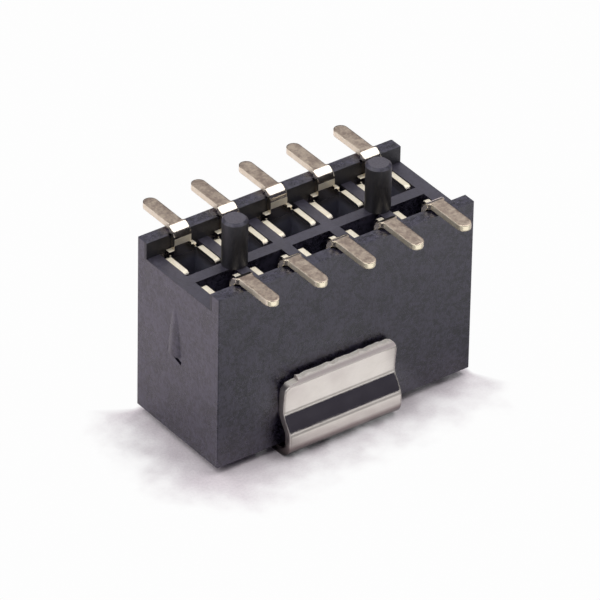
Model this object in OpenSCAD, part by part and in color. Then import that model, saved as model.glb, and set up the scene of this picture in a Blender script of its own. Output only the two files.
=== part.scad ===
// Two-row surface-mount socket strip, shown solder side up, resting on its pick-up clip.
// Millimetres. X runs along the rows, Y across them, Z up towards the circuit board.
// The origin lies in the middle of the clip's flat plate, on the face that it rests on.

/* [Rows] */
// Number of contacts in each row
columns = 5; // [3:1:10]
// Distance from one contact to the next along a row
pitch = 1.27; // [1.05:0.01:2.54]
// Distance between the pin lines of the two rows
row_pitch = 1.27; // [1.05:0.01:2.54]

/* [Housing] */
// Height of the housing, from the mating face to the tops of the rims
body_h = 4.33; // [3.4:0.01:8]
// Plastic left at each end beyond the last contact's half pitch
end_margin = 0.21; // [0.05:0.01:1]
// Thickness of the rim along each long side
rim_t = 0.335; // [0.2:0.005:0.6]
// Height of the rims above the deck
rim_h = 0.4; // [0.2:0.05:0.8]
// Size of the small step in the rim's inner edge that clears the bend of each tail
bend_step = 0.06; // [0.04:0.01:0.1]
// Clear gap at either side of a tail in that step
step_gap = 0.03; // [0.01:0.01:0.1]
// Edge chamfer of the housing
body_chamfer = 0.02; // [0.01:0.01:0.1]

/* [Cavities] */
// Width of a contact cavity along the row
cavity_w = 1; // [0.75:0.01:1.1]
// Cavity from the pin line out to the side wall
cavity_out = 0.535; // [0.5:0.005:0.8]
// Cavity from the pin line in to the centre web
cavity_in = 0.485; // [0.4:0.005:0.5]
// Thickness of the floor at the mating face
floor_t = 0.55; // [0.4:0.05:1]
// Width of the square pin hole through the floor
entry_w = 0.56; // [0.5:0.01:0.7]
// Width of the square lead-in at the mating face
lead_in_w = 0.86; // [0.7:0.01:0.95]
// Depth of the lead-in
lead_in_h = 0.25; // [0.1:0.01:0.35]

/* [Locating pegs] */
// Diameter of a peg
peg_d = 0.58; // [0.45:0.01:0.8]
// Height of a peg above the deck
peg_h = 1.15; // [0.8:0.01:2]
// Chamfer at the top of a peg
peg_chamfer = 0.06; // [0.02:0.01:0.1]

/* [Gate mark] */
// Radius of the raised gate mark on the left end
gate_r = 0.35; // [0.25:0.01:0.5]
// How far the gate mark stands out at its lower end
gate_out = 0.09; // [0.04:0.01:0.15]
// Height of the gate mark
gate_h = 1.17; // [0.6:0.01:1.5]
// Height of its lower end above the mating face
gate_z = 2.08; // [1:0.01:2.5]
// Its distance from the centre line, towards the rear row
gate_y = 0.11; // [0:0.01:0.3]
// Length of the small pit where the gate broke off, below the gate mark
pit_l = 0.52; // [0.2:0.01:0.6]
// Height of the pit
pit_h = 0.1; // [0.05:0.01:0.15]
// Depth of the pit
pit_depth = 0.1; // [0.03:0.01:0.15]
// Slope of the pit, down towards the front row
pit_turn = 18; // [0:1:40]

/* [Contacts] */
// Thickness of the contact's sheet metal
sheet = 0.14; // [0.1:0.01:0.18]
// Clear gap between a contact and its cavity
contact_gap = 0.015; // [0.01:0.005:0.03]
// Inside radius of the corners of the U section
u_radius = 0.05; // [0.03:0.01:0.12]
// How far the leaf tops lie below the deck
leaf_drop = 0.015; // [0.01:0.005:0.1]
// Height of the U section
u_h = 1.15; // [0.8:0.05:1.6]
// Gap between the ends of the leaves and the centre web
leaf_gap = 0.12; // [0.01:0.01:0.2]
// Corner radius at the free end of a leaf top
leaf_round = 0.12; // [0.05:0.01:0.2]
// Depth of the relief notch at each corner of the U section
relief_h = 0.12; // [0.05:0.01:0.2]
// Width over the two ears, which stand between the strip and the relief notches
ear_w = 0.7; // [0.56:0.01:0.8]
// Height of the ears above the deck
ear_rise = 0.07; // [0:0.01:0.15]
// Width of a spring leaf below the U section
spring_w = 0.46; // [0.3:0.01:0.6]
// Clear gap between the two springs where they grip a pin
grip_gap = 0.38; // [0.3:0.01:0.44]
// Height of the grip above the cavity floor
grip_z = 0.75; // [0.5:0.05:1]
// Gap between the springs' flared ends and the cavity floor
spring_end_gap = 0.12; // [0.05:0.01:0.3]
// Length of the base plate below the U section
base_drop = 0.9; // [0.5:0.05:1.1]
// How far a retention barb stands out from the base plate
barb_out = 0.1; // [0.05:0.01:0.14]
// Height of a retention barb
barb_h = 0.22; // [0.1:0.01:0.3]

/* [Solder tails] */
// Width of the strip up to and round the bend
strip_w = 0.44; // [0.35:0.01:0.55]
// Width of a tail
tail_w = 0.33; // [0.25:0.01:0.45]
// Reach of a tail beyond the side of the housing
tail_out = 0.89; // [0.5:0.01:1.5]
// Height of the solder plane above the rims
solder_rise = 0.19; // [0.16:0.01:0.3]
// Outside radius of the tail's bend
bend_r = 0.25; // [0.2:0.01:0.35]

/* [Pick-up clip] */
// Thickness of the clip's sheet metal
clip_t = 0.2; // [0.1:0.01:0.25]
// Width of the clip along the rows
clip_w = 2.97; // [2:0.01:5]
// Place of the clip's middle along the rows
clip_shift = -0.3; // [-0.5:0.05:0.5]
// Outside radius of the clip's heel
heel_r = 0.41; // [0.3:0.01:0.6]
// Gap between the housing and the leg above the heel
heel_gap = 0.27; // [0.1:0.01:0.4]
// Height of the top of the heel's upright
heel_h = 0.56; // [0.45:0.01:0.9]
// Height where the leg grips the housing
pinch_h = 1.14; // [0.95:0.01:1.4]
// Gap left between the grip and the housing
pinch_gap = 0.01; // [0:0.005:0.03]
// Height of the leg's free edge
leg_h = 1.96; // [1.6:0.01:2.6]
// How far the free edge leans out from the grip
lip_out = 0.06; // [0:0.01:0.3]
// How much of the clip's thickness the rounded free edge takes
lip_r = 0.15; // [0.04:0.01:0.2]
// Height over which the free edge is rounded
lip_h = 0.2; // [0.05:0.01:0.3]
// Height of the cut corners at the ends of the free edge
lip_corner_h = 0.26; // [0.1:0.01:0.4]
// Length of the cut corner at the left end
lip_corner_l = 0.34; // [0.1:0.01:0.6]
// Length of the cut corner at the right end
lip_corner_r = 0.2; // [0.1:0.01:0.6]
// Depth of the shallow waves that the shear left along the free edge
wave_h = 0.05; // [0.01:0.01:0.08]
// Number of steps in which the waves are drawn
wave_steps = 20; // [8:1:40]

/* [Hidden] */
$fn = 48;
slack = 0.05;
// Degrees per step of the two waves that add up to the clip's uneven edge
wave_turns = [100, 157];

ROWS = ["a", "b"];

body_z = clip_t;
body_l = columns * pitch + 2 * end_margin;
body_w = row_pitch + 2 * (cavity_out + rim_t);
rim_z = body_z + body_h;
deck_z = rim_z - rim_h;
floor_z = body_z + floor_t;
solder_z = rim_z + solder_rise;
peg_x = (columns / 2 - 1) * pitch;

leaf_z = deck_z - leaf_drop;
ear_z = deck_z + ear_rise;
u_z = leaf_z - u_h;
u_out = cavity_w / 2 - contact_gap;
base_y = cavity_out - contact_gap;
leaf_y = -cavity_in + leaf_gap;
tail_tip = cavity_out + rim_t + tail_out;
edge_r = min(lip_r, clip_t);

// x of a column's middle, counted from 1 at the left
function column_x(c) = (c - (columns + 1) / 2) * pitch;

// Points of an arc about a centre
function arc(centre, r, from, to, steps = 8) = [
    for (i = [0:steps])
        let (turn = from + (to - from) * i / steps)
            centre + r * [cos(turn), sin(turn)]
];

// Unit normal to the left of a path at point i
function path_normal(path, i) =
    let (
        a = path[max(i - 1, 0)],
        b = path[min(i + 1, len(path) - 1)],
        d = (b - a) / norm(b - a)
    )
    [-d.y, d.x];

// The path moved sideways, to its left if the offset is positive
function path_side(path, offset) = [for (i = [0:len(path) - 1]) path[i] + path_normal(path, i) * offset];

function reversed(points) = [for (i = [len(points) - 1:-1:0]) points[i]];

// Outline of a strip of sheet metal of thickness t that follows a path along its middle
function sheet_outline(path, t, tip = []) =
    concat(path_side(path, t / 2), tip, reversed(path_side(path, -t / 2)));

// Easing from 0 to 1 with level ends
function ease(s) = (1 - cos(180 * s)) / 2;

// Runs its child once for each contact, in its own place: the pin line at the origin, outwards along +Y
module at_contact(row, c) {
    translate([column_x(c), 0, 0])
        mirror([0, row == "a" ? 0 : 1, 0])
            translate([0, row_pitch / 2, 0])
                children();
}

module every_contact() {
    for (row = ROWS, c = [1:columns])
        at_contact(row, c)
            children();
}

// A block centred in X and Y, from one height to another
module block(l, w, from, to) {
    translate([-l / 2, -w / 2, from])
        cube([l, w, to - from]);
}

// A profile drawn in Y and Z, extruded along X about the middle
module across_x(l) {
    translate([-l / 2, 0, 0])
        rotate([90, 0, 90])
            linear_extrude(l)
                children();
}

// A profile drawn in X and Z, extruded along Y from one place to another
module across_y(from, to) {
    translate([0, to, 0])
        rotate([90, 0, 0])
            linear_extrude(to - from)
                children();
}

module chamfered_rect(l, w, cut) {
    polygon([
        [-l / 2 + cut, -w / 2], [l / 2 - cut, -w / 2], [l / 2, -w / 2 + cut], [l / 2, w / 2 - cut],
        [l / 2 - cut, w / 2], [-l / 2 + cut, w / 2], [-l / 2, w / 2 - cut], [-l / 2, -w / 2 + cut]
    ]);
}

// Square funnel in the mating face, narrowing upwards to the pin hole
module lead_in_side() {
    polygon([
        [-lead_in_w / 2 - slack, body_z - slack * lead_in_h / (lead_in_w / 2 - entry_w / 2)],
        [lead_in_w / 2 + slack, body_z - slack * lead_in_h / (lead_in_w / 2 - entry_w / 2)],
        [entry_w / 2, body_z + lead_in_h],
        [-entry_w / 2, body_z + lead_in_h]
    ]);
}

module lead_in() {
    intersection() {
        across_y(-cavity_w, cavity_w)
            lead_in_side();
        across_x(2 * cavity_w)
            lead_in_side();
    }
}

// What is cut from the housing for one contact: cavity, pin hole, lead-in and the step under the bend
module contact_cavity() {
    translate([-cavity_w / 2, -cavity_in, floor_z])
        cube([cavity_w, cavity_in + cavity_out, deck_z - floor_z + slack]);
    block(entry_w, entry_w, body_z, floor_z + slack);
    lead_in();
    translate([-strip_w / 2 - step_gap, cavity_out - slack, rim_z - bend_step])
        cube([strip_w + 2 * step_gap, bend_step + slack, bend_step + slack]);
}

module locating_peg() {
    translate([0, 0, deck_z]) {
        cylinder(h = peg_h - peg_chamfer, d = peg_d);
        translate([0, 0, peg_h - peg_chamfer])
            cylinder(h = peg_chamfer, d1 = peg_d, d2 = peg_d - 2 * peg_chamfer);
    }
}

// Raised mark of the moulding gate: a leaning half round, cut square at its lower end
module gate_mark() {
    lean = atan(gate_out / gate_h);
    intersection() {
        translate([-body_l / 2 - gate_out + gate_r, gate_y, body_z + gate_z])
            rotate([0, lean, 0])
                translate([0, 0, -gate_r])
                    cylinder(h = gate_h + 2 * gate_r, r = gate_r);
        translate([-body_l / 2 - gate_out, gate_y - gate_r, body_z + gate_z])
            cube([gate_out + gate_r, 2 * gate_r, gate_h]);
    }
}

// Pit under the gate mark, sunk into the left end
module gate_pit() {
    translate([-body_l / 2, gate_y, body_z + gate_z - pit_h / 2])
        rotate([pit_turn, 0, 0])
            cube([2 * pit_depth, pit_l, pit_h], center = true);
}

module housing() {
    color("#3a393f") {
        difference() {
            translate([0, 0, body_z])
                linear_extrude(body_h)
                    chamfered_rect(body_l, body_w, body_chamfer);
            block(body_l + 2 * slack, row_pitch + 2 * cavity_out, deck_z, rim_z + slack);
            every_contact()
                contact_cavity();
            gate_pit();
        }
        for (side = [-1, 1])
            translate([side * peg_x, 0, 0])
                locating_peg();
        gate_mark();
    }
}

// Outline of a contact's strip seen from the side: up, over the bend and out as the tail
module strip_side() {
    bend_y = base_y - sheet + bend_r;
    bend_z = solder_z - bend_r;
    translate([base_y - sheet, u_z - base_drop])
        square([sheet, bend_z - u_z + base_drop]);
    intersection() {
        translate([bend_y, bend_z])
            difference() {
                circle(bend_r);
                circle(bend_r - sheet);
            }
        translate([bend_y - bend_r, bend_z])
            square(bend_r);
    }
    translate([bend_y, solder_z - sheet])
        square([tail_tip - bend_y, sheet]);
}

// Outline of the strip seen from above: wide over the bend, then the tail with its round tip
module strip_plan() {
    shoulder_y = base_y - sheet + bend_r;
    shoulder = (strip_w - tail_w) / 2;
    tip_y = tail_tip - tail_w / 2;
    polygon(concat(
        [[-strip_w / 2, base_y - 2 * sheet], [strip_w / 2, base_y - 2 * sheet]],
        [[strip_w / 2, shoulder_y - shoulder / 2], [tail_w / 2, shoulder_y + shoulder / 2]],
        arc([0, tip_y], tail_w / 2, 0, 180, 16),
        [[-tail_w / 2, shoulder_y + shoulder / 2], [-strip_w / 2, shoulder_y - shoulder / 2]]
    ));
}

// U section seen from above, open towards the centre web
module u_plan() {
    outer_r = u_radius + sheet;
    corner = [u_out - outer_r, base_y - outer_r];
    polygon(concat(
        [[u_out, leaf_y]],
        arc(corner, outer_r, 0, 90),
        arc([-corner.x, corner.y], outer_r, 90, 180),
        [[-u_out, leaf_y], [-u_out + sheet, leaf_y]],
        arc([-corner.x, corner.y], u_radius, 180, 90),
        arc(corner, u_radius, 90, 0),
        [[u_out - sheet, leaf_y]]
    ));
}

// U section seen from the side: the base ends above the deck, the leaf tops have rounded free ends
module u_side() {
    polygon(concat(
        [[leaf_y, u_z], [base_y, u_z], [base_y, ear_z], [base_y - sheet, ear_z], [base_y - sheet, leaf_z]],
        arc([leaf_y + leaf_round, leaf_z - leaf_round], leaf_round, 90, 180)
    ));
}

// Relief notches that part the ears from the leaves
module corner_reliefs() {
    for (side = [0, 1])
        mirror([side, 0, 0])
            translate([ear_w / 2, base_y - sheet - u_radius, leaf_z - relief_h])
                cube([cavity_w, sheet + u_radius + slack, ear_z - leaf_z + relief_h + slack]);
}

module u_section() {
    difference() {
        intersection() {
            translate([0, 0, u_z])
                linear_extrude(ear_z - u_z)
                    u_plan();
            across_x(2 * cavity_w)
                u_side();
        }
        corner_reliefs();
    }
}

// Middle line of one spring, from the U section down past the grip to the flared end
function spring_path() =
    let (
        top = [u_out - sheet / 2, u_z],
        grip = [(grip_gap + sheet) / 2, floor_z + grip_z],
        tip = [u_out - sheet, floor_z + spring_end_gap]
    )
    concat(
        [[top.x, top.y + slack]],
        [for (i = [0:10]) [top.x + (grip.x - top.x) * ease(i / 10), top.y + (grip.y - top.y) * i / 10]],
        [for (i = [1:6]) [grip.x + (tip.x - grip.x) * (1 - cos(15 * i)), grip.y + (tip.y - grip.y) * i / 6]]
    );

module contact_spring() {
    across_y(-spring_w / 2, spring_w / 2)
        polygon(sheet_outline(spring_path(), sheet));
}

// Base plate below the U section, with a barb at each edge that bites the cavity wall
module base_plate() {
    half = cavity_w / 2 - barb_out;
    barb_z = u_z - base_drop / 2;
    across_y(base_y - sheet, base_y)
        polygon([
            [-half, u_z + slack], [-half, barb_z + barb_h], [-half - barb_out, barb_z + barb_h],
            [-half, barb_z], [-half, u_z - base_drop], [half, u_z - base_drop], [half, barb_z],
            [half + barb_out, barb_z + barb_h], [half, barb_z + barb_h], [half, u_z + slack]
        ]);
}

module contact() {
    color("#c9bfae") {
        intersection() {
            across_x(strip_w)
                strip_side();
            translate([0, 0, u_z - base_drop])
                linear_extrude(solder_z - u_z + base_drop)
                    strip_plan();
        }
        u_section();
        base_plate();
        for (side = [0, 1])
            mirror([side, 0, 0])
                contact_spring();
    }
}

// Middle line of half the clip: along the plate, round the heel, in to the grip and out to the lip
function clip_path() =
    let (
        mid_r = heel_r - clip_t / 2,
        leg_y = body_w / 2 + heel_gap + clip_t / 2,
        grip_y = body_w / 2 + pinch_gap + clip_t / 2,
        lip_z = leg_h - lip_h
    )
    concat(
        [[0, clip_t / 2]],
        arc([leg_y - mid_r, heel_r], mid_r, -90, 0, 18),
        [for (i = [0:14]) [leg_y + (grip_y - leg_y) * ease(i / 14), heel_h + (pinch_h - heel_h) * i / 14]],
        [for (i = [1:8]) [grip_y + lip_out * pow(i / 8, 2), pinch_h + (lip_z - pinch_h) * i / 8]]
    );

// End of the clip's outline: square inside, rounded outside
function clip_tip(path) =
    let (
        last = len(path) - 1,
        inwards = path_normal(path, last),
        onwards = [inwards.y, -inwards.x],
        centre = path[last] + inwards * (edge_r - clip_t / 2)
    )
    concat(
        [path[last] + inwards * clip_t / 2 + onwards * lip_h],
        [for (p = arc([0, 0], 1, 90, 0, 10)) centre + onwards * lip_h * p.y - inwards * edge_r * p.x]
    );

// Height of the sheared free edge at step i, an uneven wave
function wave_z(i) = leg_h - wave_h * (2 + sin(wave_turns[0] * i) + sin(wave_turns[1] * i)) / 4;

// Outline of the clip seen along Y: cut corners and a wavy free edge
module clip_front() {
    half = clip_w / 2;
    from = half - lip_corner_r;
    step = (clip_w - lip_corner_l - lip_corner_r) / wave_steps;
    polygon(concat(
        [[-half, -slack], [half, -slack], [half, leg_h - lip_corner_h]],
        [[half - lip_corner_r / 3, leg_h - lip_corner_h / 3]],
        [for (i = [0:wave_steps]) [from - i * step, wave_z(i)]],
        [[-half + lip_corner_l, leg_h - 2 * wave_h], [-half + lip_corner_l / 3, leg_h - lip_corner_h / 2]],
        [[-half, leg_h - lip_corner_h]]
    ));
}

module pickup_clip() {
    color("#d8d6d2")
        translate([clip_shift, 0, 0])
            intersection() {
                union()
                    for (side = [0, 1])
                        mirror([0, side, 0])
                            across_x(clip_w)
                                polygon(sheet_outline(clip_path(), clip_t, clip_tip(clip_path())));
                across_y(-body_w, body_w)
                    clip_front();
            }
}

housing();
for (row = ROWS, c = [1:columns])
    at_contact(row, c) contact();
pickup_clip();
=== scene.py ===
"""Looks of the two-row surface-mount socket strip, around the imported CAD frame. Metres."""
import math
from types import SimpleNamespace

import bpy
from mathutils import Matrix, Vector


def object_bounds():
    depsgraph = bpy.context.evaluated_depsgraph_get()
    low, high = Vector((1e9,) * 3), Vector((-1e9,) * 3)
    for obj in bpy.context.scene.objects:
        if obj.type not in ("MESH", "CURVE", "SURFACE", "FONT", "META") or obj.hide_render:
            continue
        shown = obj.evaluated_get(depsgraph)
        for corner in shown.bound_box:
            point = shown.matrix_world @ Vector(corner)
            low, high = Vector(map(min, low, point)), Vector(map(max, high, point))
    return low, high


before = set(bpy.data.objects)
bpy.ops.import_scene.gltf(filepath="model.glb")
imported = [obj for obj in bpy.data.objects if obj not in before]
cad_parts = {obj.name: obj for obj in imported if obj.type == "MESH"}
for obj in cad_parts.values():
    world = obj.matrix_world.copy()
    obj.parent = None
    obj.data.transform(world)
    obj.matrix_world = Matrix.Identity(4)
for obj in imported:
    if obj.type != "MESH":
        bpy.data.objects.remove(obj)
cad_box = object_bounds()

MM = 0.001

# Camera: where it looks, from which side, how far away, and its turn about the line of sight
LOOK_AT = Vector((0, 0, 2.40)) * MM
AZIMUTH = math.radians(-36.576)
ELEVATION = math.radians(34.026)
ROLL = math.radians(1.089)
DISTANCE = 167.52 * MM
LENS = 464.23
SENSOR = 36
CAMERA_SIDEWAYS = -0.1115 * MM
CAMERA_UP = 0.0264 * MM

# Floor: its size and colours
FLOOR_SIZE = 0.8
FLOOR_COLOUR = (0.985, 0.905, 0.94)
FLOOR_DARK = tuple(0.86 * value for value in FLOOR_COLOUR)

# The housing's half length and half width, rounded, and how far out from it the floor turns white
FOOTPRINT_X = 3.4 * MM
FOOTPRINT_Y = 1.5 * MM
WHITE_FROM = 0.1 * MM
WHITE_TO = 1.8 * MM
WHITE_LEVEL = 0.985

# The shade's ragged edge, and how much wider it is at the left and in front than at the right and behind
RAGGED = 0.25 * MM
LEAN_X = 0.05
LEAN_Y = 0.1

# Past the right end and the back wall, as the photo's view sees them, the floor is white almost at once
EDGE_FADE = 0.12 * MM
FADE_SLOPE = 0.6
SHOWN_FADE = 0.5 * MM

# Floor that the front wall mirrors: its ends with their brightness, and its part next to the wall
WALL_ENDS = (-FOOTPRINT_X, FOOTPRINT_X)
WALL_LEVELS = (0.45, 0.62)
WALL_FOOT = (-4.0 * MM, -FOOTPRINT_Y)
WALL_FOOT_LEVEL = 0.45
FRONT_FADE = 0.1 * MM

# Floor that the clip and the tails' tips mirror, at full brightness
CLIP_LEFT = (-2.4 * MM, -0.4 * MM)
CLIP_RIGHT = (2.7 * MM, 2.0 * MM)
CLIP_FRONT = (-3.9 * MM, -3.3 * MM)
TIPS_FRONT = (-6.9 * MM, -7.5 * MM)

# World light
WORLD_LEVEL = 0.055
WORLD_COLOUR = (0.95, 0.92, 1.25)

# Places on the housing: the rims' tops, the deck sunk between them, a line within each rim's thickness,
# just below the pegs' tops, and the slack for a face at a known height
RIM_Z = 4.53 * MM
DECK_Z = RIM_Z - 0.4 * MM
RIM_Y = 1.25 * MM
PEG_TOP_Z = cad_box[1][2] - 0.08 * MM
SLACK = 0.01 * MM

# Places on the contacts: where the tails start, just above the leaves' tops, the depths, and the strip
# under the bend, where a highlight is painted
TAIL_Y = RIM_Y - SLACK
LEAF_TOP_Z = DECK_Z + 0.15 * MM
DEPTHS = (DECK_Z, DECK_Z - 0.3 * MM)
BEND_BOTTOM_Z = RIM_Z - 0.22 * MM
BEND_TOP_Z = RIM_Z - 0.05 * MM

# Places on the clip: the foot of the free edge, the leg's part with painted shade, and the turn into the
# heel
LIP_Z = 1.79 * MM
LIP_FADE = 0.03 * MM
LEG_SHADE = (0.95 * MM, 0.4 * MM)
HEEL_Z = 0.36 * MM
HEEL_FADE = 0.05 * MM
UNDERSIDE_Z = 0.08 * MM

# Limits of a normal's part along an axis, for telling faces apart
FACES = 0.9
LEANS = 0.7
UPRIGHT = 0.5

# Ranges that one noise, and the sum of two, mostly stay in
NOISE = (0.35, 0.65)
TWO_NOISES = (0.7, 1.3)

# Plastic: colours, the tint of its highlights, and roughness
PLASTIC_DARK = (0.004, 0.003, 0.009)
PLASTIC_PALE = (0.040, 0.036, 0.060)
DECK_GREY = (0.050, 0.045, 0.062)
# Painted shade for the upright faces between the rims
INNER_PAINTED_SHADE = (0.004, 0.004, 0.006)
SCUFF_DARK = (0.045, 0.040, 0.052)
SCUFF_PALE = (0.085, 0.076, 0.094)
PLASTIC_GLOSS = (0.93, 0.915, 1.0, 1.0)
PLASTIC_ROUGH = (0.24, 0.34)
INNER_ROUGH = 0.5
DECK_ROUGH = 0.36

# Contacts: colours and roughness
STRIP_DARK = (0.74, 0.67, 0.57)
STRIP_PALE = (0.80, 0.73, 0.63)
TIN_DARK = (0.49, 0.38, 0.31)
TIN_PALE = (0.73, 0.61, 0.49)
CUT_DARK = (0.95, 0.86, 0.68)
CUT_PALE = (1.0, 0.93, 0.78)
# Painted shade for the metal deep in the cavity
DEPTH_PAINTED_SHADE = (0.40, 0.40, 0.48)
TIP_PALE = (0.96, 0.86, 0.66)
STRIP_ROUGH = (0.1, 0.16)
TIN_ROUGH = (0.28, 0.42)
CUT_ROUGH = 0.55
BEND_ROUGH = 0.5
TIP_ROUGH = 0.14

# Clip: colours and roughness
STEEL_DARK = (0.69, 0.64, 0.60)
STEEL_PALE = (0.74, 0.69, 0.65)
RAW_DARK = (0.90, 0.83, 0.75)
RAW_PALE = (1.0, 0.96, 0.89)
LIP_FACE = (0.70, 0.63, 0.61)
# Painted shade for the lower leg and heel, and a near black painted shadow at the underside
PAINTED_HEEL_SHADE = (0.30, 0.25, 0.24)
PAINTED_UNDERSIDE_SHADOW = (0.06, 0.05, 0.05)
STEEL_ROUGH = (0.09, 0.15)
LIP_ROUGH = 0.5
END_ROUGH = 0.3


def node_material(name):
    """A new material with an empty node tree."""
    mat = bpy.data.materials.new(name)
    mat.use_nodes = True
    mat.node_tree.nodes.clear()
    return mat


class Graph:
    """Short ways to add and link shader nodes."""

    def __init__(self, mat):
        self.tree = mat.node_tree
        self.out = self.add("ShaderNodeOutputMaterial")
        texture = self.add("ShaderNodeTexCoord")
        self.coords = texture.outputs["Object"]
        self.x, self.y, self.z = self.split(self.coords)
        self.nx, self.ny, self.nz = self.split(texture.outputs["Normal"])

    def add(self, kind, **settings):
        node = self.tree.nodes.new(kind)
        for key, value in settings.items():
            setattr(node, key, value)
        return node

    def set(self, socket, value):
        if isinstance(value, bpy.types.NodeSocket):
            self.tree.links.new(value, socket)
        elif isinstance(value, tuple) and len(value) == 3 and socket.type == "RGBA":
            socket.default_value = (*value, 1)
        else:
            socket.default_value = value

    def split(self, vector):
        """X, Y and Z of a vector."""
        node = self.add("ShaderNodeSeparateXYZ")
        self.set(node.inputs[0], vector)
        return node.outputs[0], node.outputs[1], node.outputs[2]

    def noise(self, feature, detail=3, rough=0.5, stretch=(1, 1, 1), offset=(0, 0, 0)):
        """Noise between 0 and 1 with features of about that size in metres."""
        place = self.add("ShaderNodeMapping")
        self.set(place.inputs["Vector"], self.coords)
        place.inputs["Scale"].default_value = tuple(s / feature for s in stretch)
        place.inputs["Location"].default_value = offset
        node = self.add("ShaderNodeTexNoise")
        self.set(node.inputs["Vector"], place.outputs[0])
        node.inputs["Scale"].default_value = 1.0
        node.inputs["Detail"].default_value = detail
        node.inputs["Roughness"].default_value = rough
        return node.outputs["Fac"]

    def ramp(self, value, low, high, to_low=0.0, to_high=1.0, smooth=False):
        """Takes low to to_low and high to to_high, and stays between the two."""
        node = self.add("ShaderNodeMapRange")
        if smooth:
            node.interpolation_type = "SMOOTHSTEP"
        self.set(node.inputs["Value"], value)
        self.set(node.inputs["From Min"], low)
        self.set(node.inputs["From Max"], high)
        self.set(node.inputs["To Min"], to_low)
        self.set(node.inputs["To Max"], to_high)
        return node.outputs["Result"]

    def maths(self, operation, a, b=0.0):
        node = self.add("ShaderNodeMath", operation=operation)
        self.set(node.inputs[0], a)
        self.set(node.inputs[1], b)
        return node.outputs[0]

    def plus(self, a, b):
        return self.maths("ADD", a, b)

    def minus(self, a, b):
        return self.maths("SUBTRACT", a, b)

    def times(self, a, b):
        return self.maths("MULTIPLY", a, b)

    def size(self, value):
        return self.maths("ABSOLUTE", value)

    def above(self, value, limit):
        return self.maths("GREATER_THAN", value, limit)

    def below(self, value, limit):
        return self.maths("LESS_THAN", value, limit)

    def both(self, a, b):
        """Where two masks meet."""
        return self.times(a, b)

    def either(self, a, b):
        """The larger of two masks or values."""
        return self.maths("MAXIMUM", a, b)

    def mix(self, factor, a, b):
        """From colour or vector a to b."""
        node = self.add("ShaderNodeMix", data_type="RGBA")
        self.set(node.inputs["Factor"], factor)
        self.set(node.inputs[6], a)
        self.set(node.inputs[7], b)
        return node.outputs[2]

    def blend(self, factor, a, b):
        """From number a to b."""
        node = self.add("ShaderNodeMix", data_type="FLOAT")
        self.set(node.inputs["Factor"], factor)
        self.set(node.inputs[2], a)
        self.set(node.inputs[3], b)
        return node.outputs[0]

    def plain_normal(self):
        return self.add("ShaderNodeNewGeometry").outputs["Normal"]

    def rounded_normal(self, radius):
        """The normal as if the edges were rounded to that radius."""
        node = self.add("ShaderNodeBevel", samples=8)
        node.inputs["Radius"].default_value = radius
        return node.outputs[0]

    def bump(self, height, depth, normal=None):
        node = self.add("ShaderNodeBump")
        self.set(node.inputs["Height"], height)
        node.inputs["Distance"].default_value = depth
        node.inputs["Strength"].default_value = 1.0
        if normal is not None:
            self.set(node.inputs["Normal"], normal)
        return node.outputs[0]

    def finish(self, colour, roughness, normal, **values):
        """Adds the shader, makes it the surface and returns its output."""
        shader = self.add("ShaderNodeBsdfPrincipled")
        self.set(shader.inputs["Base Color"], colour)
        self.set(shader.inputs["Roughness"], roughness)
        self.set(shader.inputs["Normal"], normal)
        for key, value in values.items():
            self.set(shader.inputs[key.replace("_", " ")], value)
        self.set(self.out.inputs["Surface"], shader.outputs[0])
        return shader.outputs[0]


def housing_places(g):
    """Masks for all that lies between the rims, the deck, the upright inner faces and the pegs' tops."""
    at = SimpleNamespace()
    at.inside = g.both(g.below(g.size(g.y), RIM_Y), g.above(g.z, DECK_Z - SLACK))
    faces_up = g.above(g.nz, FACES)
    at.deck = g.both(g.both(at.inside, faces_up), g.below(g.z, DECK_Z + SLACK))
    at.inner_wall = g.both(at.inside, g.below(g.nz, UPRIGHT))
    at.peg_top = g.both(g.above(g.z, PEG_TOP_Z), faces_up)
    return at


def housing_colour(g, at, grain, cloud):
    mottle = g.noise(0.09 * MM, detail=5, rough=0.6, offset=(1, 8, 4))
    mottle = g.ramp(g.plus(mottle, g.times(cloud, 0.4)), 0.6, 0.8)
    colour = g.mix(mottle, PLASTIC_DARK, PLASTIC_PALE)
    colour = g.mix(g.times(at.deck, 0.55), colour, DECK_GREY)
    # Painted shade: the upright faces between the rims lose the pale mottle and turn near black
    colour = g.mix(at.inner_wall, colour, INNER_PAINTED_SHADE)
    scuffed = g.mix(g.ramp(grain, *NOISE), SCUFF_DARK, SCUFF_PALE)
    return g.mix(at.peg_top, colour, scuffed)


def housing_material():
    """Mottled, faintly grained plastic, near black between the rims, where painted shade darkens the
    upright faces further, and scuffed on the pegs' tops.
    """
    mat = node_material("housing_plastic")
    g = Graph(mat)
    at = housing_places(g)
    grain = g.noise(0.035 * MM, detail=2)
    cloud = g.noise(0.5 * MM, detail=4, offset=(3, 1, 7))
    colour = housing_colour(g, at, grain, cloud)
    rough = g.ramp(g.plus(cloud, grain), *TWO_NOISES, *PLASTIC_ROUGH)
    rough = g.blend(at.inside, rough, g.blend(at.deck, INNER_ROUGH, DECK_ROUGH))
    normal = g.bump(g.plus(g.times(grain, 0.45), cloud), 0.014 * MM)
    g.finish(colour, rough, normal, IOR=1.85, Specular_Tint=PLASTIC_GLOSS)
    return mat


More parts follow.
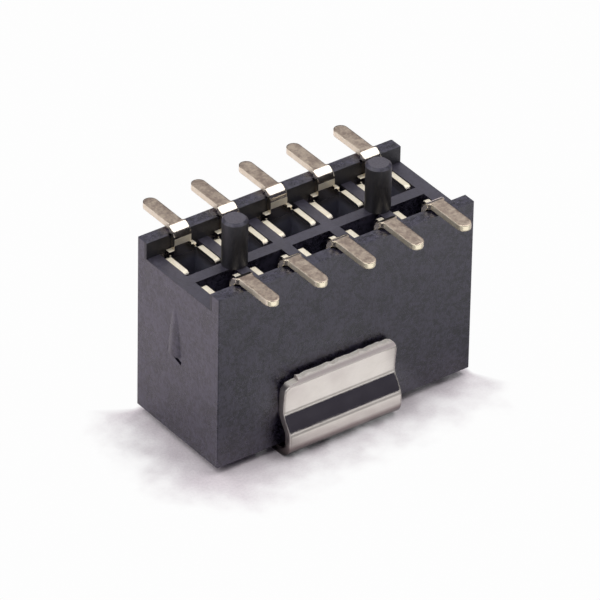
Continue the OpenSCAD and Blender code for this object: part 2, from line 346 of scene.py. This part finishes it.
def contact_places(g):
    """Masks for the tails and their tips, leaf tops, sheared faces, depths and the strip under the bend,
    which carries a painted highlight.
    """
    at = SimpleNamespace()
    at.tail = g.above(g.size(g.y), TAIL_Y)
    tail_side = g.both(at.tail, g.below(g.size(g.nz), UPRIGHT))
    at.tip = g.both(tail_side, g.ramp(g.size(g.ny), 0.15, 0.5))
    at.leaf_top = g.both(g.above(g.nz, LEANS), g.below(g.z, LEAF_TOP_Z))
    at.sheared = g.either(at.leaf_top, tail_side)
    at.deep = g.ramp(g.z, *DEPTHS)
    band = g.both(g.above(g.z, BEND_BOTTOM_Z), g.below(g.z, BEND_TOP_Z))
    upright = g.both(g.below(g.nz, UPRIGHT), g.above(g.size(g.ny), LEANS))
    at.under_bend = g.both(band, upright)
    return at


def contact_colour(g, at, grit):
    patch = g.ramp(grit, 0.8, 1.2)
    strip = g.mix(patch, STRIP_DARK, STRIP_PALE)
    tin = g.mix(patch, TIN_DARK, TIN_PALE)
    cut = g.mix(patch, CUT_DARK, CUT_PALE)
    # Painted shade: the metal below the deck turns a darker blue grey
    colour = g.mix(at.deep, g.mix(at.tail, strip, tin), DEPTH_PAINTED_SHADE)
    colour = g.mix(at.sheared, colour, cut)
    colour = g.mix(at.tip, colour, TIP_PALE)
    # Painted highlight: the strip just under the bend takes the pale cut colour, with a rougher, half metal
    # finish
    return g.mix(at.under_bend, colour, cut)


def contact_roughness(g, at, grit):
    strip = g.ramp(grit, *TWO_NOISES, *STRIP_ROUGH)
    tin = g.ramp(grit, *TWO_NOISES, *TIN_ROUGH)
    rough = g.blend(at.tail, strip, tin)
    rough = g.blend(g.either(at.deep, at.sheared), rough, CUT_ROUGH)
    rough = g.blend(at.under_bend, rough, BEND_ROUGH)
    return g.blend(at.tip, rough, TIP_ROUGH)


def contact_material():
    """Smooth strip, pale sheared leaf tops and tail sides, and mottled matt tin on the tails."""
    mat = node_material("contact_metal")
    g = Graph(mat)
    at = contact_places(g)
    speckle = g.noise(0.05 * MM, detail=3)
    cloud = g.noise(0.16 * MM, detail=3, offset=(2, 5, 1))
    grit = g.plus(cloud, speckle)
    rounded = g.either(at.leaf_top, g.above(g.z, RIM_Z))
    normal = g.mix(rounded, g.plain_normal(), g.rounded_normal(0.045 * MM))
    normal = g.bump(g.both(grit, at.tail), 0.001 * MM, normal)
    metal = g.blend(g.either(at.under_bend, at.leaf_top), 1.0, 0.5)
    g.finish(contact_colour(g, at, grit), contact_roughness(g, at, grit), normal, Metallic=metal)
    return mat


def clip_places(g):
    """Masks for the strip's cut ends, its free edge, that edge's upper face, and all that was sheared."""
    at = SimpleNamespace()
    at.end = g.above(g.size(g.nx), LEANS)
    at.lip = g.ramp(g.z, LIP_Z - LIP_FADE, LIP_Z + LIP_FADE)
    at.crest = g.both(at.lip, g.ramp(g.nz, 0.35, 0.6))
    at.sheared = g.either(at.end, at.lip)
    return at


def clip_colour(g, at, cloud):
    grit = g.noise(0.05 * MM, detail=3, offset=(7, 3, 2))
    steel = g.mix(g.ramp(cloud, *NOISE), STEEL_DARK, STEEL_PALE)
    raw = g.mix(g.ramp(grit, *NOISE), RAW_DARK, RAW_PALE)
    colour = g.mix(at.sheared, steel, raw)
    colour = g.mix(g.both(at.lip, g.minus(1.0, at.crest)), colour, LIP_FACE)
    # Painted shade: the leg darkens and browns towards the heel, and turns near black at the underside
    colour = g.mix(g.ramp(g.z, *LEG_SHADE, 0.0, 0.32), colour, PAINTED_HEEL_SHADE)
    colour = g.mix(g.ramp(g.z, HEEL_Z + HEEL_FADE, HEEL_Z - HEEL_FADE), colour, PAINTED_HEEL_SHADE)
    return g.mix(g.ramp(g.z, HEEL_Z - HEEL_FADE, UNDERSIDE_Z), colour, PAINTED_UNDERSIDE_SHADOW)


def clip_material():
    """Bright rolled strip with pale sheared edges, and with painted shade that makes its lower part darker
    and browner.
    """
    mat = node_material("clip_steel")
    g = Graph(mat)
    at = clip_places(g)
    rolled = g.noise(0.04 * MM, detail=3, stretch=(0.12, 1, 1))
    cloud = g.noise(0.4 * MM, detail=3, offset=(4, 2, 9))
    smooth = g.ramp(g.plus(cloud, rolled), *TWO_NOISES, *STEEL_ROUGH)
    rough = g.blend(at.sheared, smooth, g.blend(at.end, LIP_ROUGH, END_ROUGH))
    normal = g.mix(at.lip, g.rounded_normal(0.08 * MM), g.plain_normal())
    normal = g.bump(rolled, 0.0008 * MM, normal)
    metal = g.blend(at.lip, 1.0, g.blend(at.crest, 0.6, 0.1))
    g.finish(clip_colour(g, at, cloud), rough, normal, Metallic=metal)
    return mat


def floor_paper(g, cloud):
    grain = g.noise(0.06 * MM, detail=4, rough=0.7)
    mottle = g.ramp(g.plus(grain, g.times(cloud, 0.4)), 0.5, 0.9)
    colour = g.mix(mottle, FLOOR_DARK, FLOOR_COLOUR)
    return g.finish(colour, 0.9, g.bump(grain, 0.008 * MM), Specular_IOR_Level=0.0)


def white_past(g, side, edge, other, other_edge, along, slope):
    """White close past one hidden wall, but only where the photo's view sees the floor there."""
    beyond = g.minus(side, edge)
    fade = g.plus(g.times(along, FADE_SLOPE), EDGE_FADE)
    uncovered = g.minus(g.times(beyond, slope), g.plus(other, other_edge))
    shown = g.ramp(uncovered, -SHOWN_FADE, 0.0)
    return g.both(shown, g.ramp(g.maths("DIVIDE", beyond, fade), 0.0, 1.0))


def white_part(g, cloud):
    """How far the floor has turned to plain white, which is 0 in the soft shade next to the object."""
    out_x = g.either(g.minus(g.size(g.x), FOOTPRINT_X), 0.0)
    out_y = g.either(g.minus(g.size(g.y), FOOTPRINT_Y), 0.0)
    away = g.plus(out_x, out_y)
    away = g.plus(away, g.ramp(cloud, 0.3, 0.7, -RAGGED, RAGGED))
    away = g.plus(away, g.times(g.plus(g.x, FOOTPRINT_X), LEAN_X))
    away = g.plus(away, g.times(g.plus(g.y, FOOTPRINT_Y), LEAN_Y))
    white = g.ramp(away, WHITE_FROM, WHITE_TO, smooth=True)
    slope = math.tan(-AZIMUTH)
    right_end = white_past(g, g.x, FOOTPRINT_X, g.y, FOOTPRINT_Y, out_y, 1 / slope)
    behind = white_past(g, g.y, FOOTPRINT_Y, g.x, FOOTPRINT_X, out_x, slope)
    return g.either(g.either(white, right_end), behind)


def mirrored_level(g):
    """Brightness of the mirrored white: dimmer in the front wall, full in the clip and the tails' tips."""
    along_wall = g.plus(g.x, g.times(g.plus(g.y, FOOTPRINT_Y), math.tan(-AZIMUTH)))
    level = g.ramp(along_wall, *WALL_ENDS, *WALL_LEVELS)
    level = g.times(level, g.ramp(g.y, *WALL_FOOT, 1.0, WALL_FOOT_LEVEL))
    clip = g.both(g.ramp(g.x, *CLIP_LEFT, smooth=True), g.ramp(g.x, *CLIP_RIGHT))
    clip = g.both(clip, g.ramp(g.y, *CLIP_FRONT))
    return g.either(g.either(level, g.ramp(g.y, *TIPS_FRONT)), clip)


def floor_material():
    """Pale paper that keeps the shadow near the object and is plain white further off."""
    mat = node_material("floor")
    g = Graph(mat)
    cloud = g.noise(0.6 * MM, detail=4, offset=(5, 2, 0))
    paper = floor_paper(g, cloud)
    rays = g.add("ShaderNodeLightPath").outputs
    mirror = g.either(rays["Is Glossy Ray"], rays["Is Transmission Ray"])
    in_front = g.ramp(g.y, FRONT_FADE - FOOTPRINT_Y, -FOOTPRINT_Y)
    seen = g.either(rays["Is Camera Ray"], g.both(mirror, in_front))
    level = g.blend(mirror, 1.0, mirrored_level(g))
    plain = g.add("ShaderNodeEmission")
    g.set(plain.inputs["Strength"], g.times(level, WHITE_LEVEL))
    surface = g.add("ShaderNodeMixShader")
    g.set(surface.inputs[0], g.both(seen, white_part(g, cloud)))
    g.set(surface.inputs[1], paper)
    g.set(surface.inputs[2], plain.outputs[0])
    g.set(g.out.inputs["Surface"], surface.outputs[0])
    return mat


def put_material(node, mat):
    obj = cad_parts[node]
    obj.data.materials.clear()
    obj.data.materials.append(mat)


def dress_nodes():
    plastic = housing_material()
    metal = contact_material()
    steel = clip_material()
    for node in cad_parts:
        if node.startswith("contact"):
            put_material(node, metal)
    put_material("housing", plastic)
    put_material("pickup_clip", steel)


def add_floor():
    half = FLOOR_SIZE / 2
    mesh = bpy.data.meshes.new("floor")
    corners = [(-half, -half, 0), (half, -half, 0), (half, half, 0), (-half, half, 0)]
    mesh.from_pydata(corners, [], [(0, 1, 2, 3)])
    mesh.materials.append(floor_material())
    floor = bpy.data.objects.new("floor", mesh)
    bpy.context.scene.collection.objects.link(floor)


def add_world():
    world = bpy.data.worlds.new("studio")
    world.use_nodes = True
    tree = world.node_tree
    tree.nodes.clear()
    out = tree.nodes.new("ShaderNodeOutputWorld")
    light = tree.nodes.new("ShaderNodeBackground")
    light.inputs["Color"].default_value = (*WORLD_COLOUR, 1)
    light.inputs["Strength"].default_value = WORLD_LEVEL
    tree.links.new(light.outputs[0], out.inputs["Surface"])
    bpy.context.scene.world = world


def way_out(azimuth, elevation):
    """Unit vector away from the object. Azimuth 0 is in front (-Y), a quarter turn is on the right (+X)."""
    flat = math.cos(elevation)
    return Vector((math.sin(azimuth) * flat, -math.cos(azimuth) * flat, math.sin(elevation)))


def add_softbox(name, azimuth, elevation, distance, width, height, radiance):
    """A lamp panel that faces the object. Its angles are in degrees."""
    way = way_out(math.radians(azimuth), math.radians(elevation))
    lamp = bpy.data.lights.new(name, "AREA")
    lamp.shape = "RECTANGLE"
    lamp.size = width
    lamp.size_y = height
    lamp.energy = radiance * math.pi * width * height
    obj = bpy.data.objects.new(name, lamp)
    obj.rotation_mode = "QUATERNION"
    obj.location = way * distance
    obj.rotation_quaternion = way.to_track_quat("Z", "Y")
    bpy.context.scene.collection.objects.link(obj)


def add_lights():
    add_softbox("key", azimuth=80, elevation=59, distance=0.25, width=0.34, height=0.16, radiance=2.1)
    add_softbox("top", azimuth=0, elevation=90, distance=0.25, width=0.24, height=0.20, radiance=1.0)
    add_softbox("left", azimuth=-108, elevation=48, distance=0.25, width=0.34, height=0.20, radiance=1.7)
    add_softbox("back", azimuth=150, elevation=32, distance=0.26, width=0.34, height=0.14, radiance=0.33)


def add_camera():
    data = bpy.data.cameras.new("camera")
    data.lens = LENS
    data.sensor_width = SENSOR
    data.clip_start = 0.01
    data.clip_end = 5
    camera = bpy.data.objects.new("camera", data)
    bpy.context.scene.collection.objects.link(camera)
    bpy.context.scene.camera = camera
    back = way_out(AZIMUTH, ELEVATION)
    right = Vector((math.cos(AZIMUTH), math.sin(AZIMUTH), 0))
    up = back.cross(right)
    turned_right = right * math.cos(ROLL) + up * math.sin(ROLL)
    turned_up = up * math.cos(ROLL) - right * math.sin(ROLL)
    place = LOOK_AT + back * DISTANCE + turned_right * CAMERA_SIDEWAYS + turned_up * CAMERA_UP
    axes = Matrix((turned_right, turned_up, back)).transposed().to_4x4()
    camera.matrix_world = Matrix.Translation(place) @ axes


def main():
    bpy.context.scene.view_settings.view_transform = "Standard"
    dress_nodes()
    add_floor()
    add_world()
    add_lights()
    add_camera()


main()
